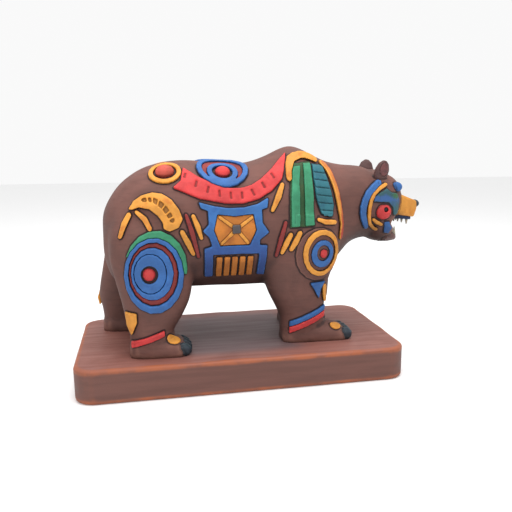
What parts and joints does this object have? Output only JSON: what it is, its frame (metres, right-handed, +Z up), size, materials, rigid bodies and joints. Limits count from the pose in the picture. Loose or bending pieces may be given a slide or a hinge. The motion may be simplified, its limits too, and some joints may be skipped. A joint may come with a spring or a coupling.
{
  "type": "carved bear figure",
  "caption": "Standing bear in painted wood with raised ornament on both flanks, screwed from below to a rounded rectangular wooden plinth.",
  "frame": {"origin": "centre of the plinth's underside", "axes": "+X along the bear towards its nose, +Y towards its far flank, +Z up out of the plinth"},
  "size_m": [0.3414, 0.152, 0.2145],
  "materials": {
    "plinth_wood": "satin varnished",
    "zinc_steel": "zinc plated",
    "wood_body": "matt painted",
    "pink_paint": "matt painted",
    "orange_paint": "matt painted",
    "slate_paint": "matt painted",
    "navy_paint": "matt painted",
    "ivory_paint": "satin painted",
    "red_paint": "matt painted",
    "black_paint": "matt painted",
    "blue_paint": "matt painted",
    "teal_paint": "matt painted",
    "dark_red_paint": "matt painted",
    "green_paint": "matt painted",
    "dark_orange_paint": "matt painted",
    "grey_paint": "matt painted",
    "dark_green_paint": "matt painted"
  },
  "bodies": {
    "root": {"plinth": "plinth_wood", "foot_screws": "zinc_steel", "bear_body": "wood_body", "ears": "wood_body", "ear_linings": "pink_paint", "muzzle": "orange_paint", "nose": "slate_paint", "upper_gum": "navy_paint", "upper_teeth": "ivory_paint", "lower_jaw": "pink_paint", "lower_teeth": "ivory_paint", "eye_rings": "red_paint", "pupils": "black_paint", "brows": "blue_paint", "mask_bands": "blue_paint", "mask_trims": "orange_paint", "cheek_panels": "teal_paint", "jaw_patches": "blue_paint", "hind_toes": "slate_paint", "fore_toes": "slate_paint", "toe_patches": "orange_paint", "saddles": "red_paint", "rump_rings": "orange_paint", "rump_domes": "red_paint", "back_blue_rings": "blue_paint", "back_red_fills": "dark_red_paint", "back_domes": "red_paint", "hip_crescents": "orange_paint", "hip_strokes": "orange_paint", "hip_red_strokes": "dark_red_paint", "hip_green_arcs": "green_paint", "hip_blue_rings": "blue_paint", "hip_red_rings": "dark_red_paint", "hip_domes": "red_paint", "hip_drops": "orange_paint", "anklets": "red_paint", "belly_frames": "blue_paint", "belly_panels": "dark_orange_paint", "belly_ribs": "orange_paint", "belly_blocks": "grey_paint", "belly_bars": "dark_orange_paint", "flank_strokes": "orange_paint", "flank_red_strokes": "dark_red_paint", "green_backings": "dark_green_paint", "green_strips": "green_paint", "teal_panels": "teal_paint", "shoulder_arches": "orange_paint", "collar_bands": "orange_paint", "shoulder_hooks": "orange_paint", "shoulder_discs": "wood_body", "shoulder_rings": "orange_paint", "shoulder_blue_rings": "blue_paint", "shoulder_domes": "red_paint", "forearm_patches": "blue_paint", "forearm_strokes": "orange_paint", "wrist_bands_blue": "blue_paint", "wrist_bands_red": "red_paint"}
  },
  "joints": []
}
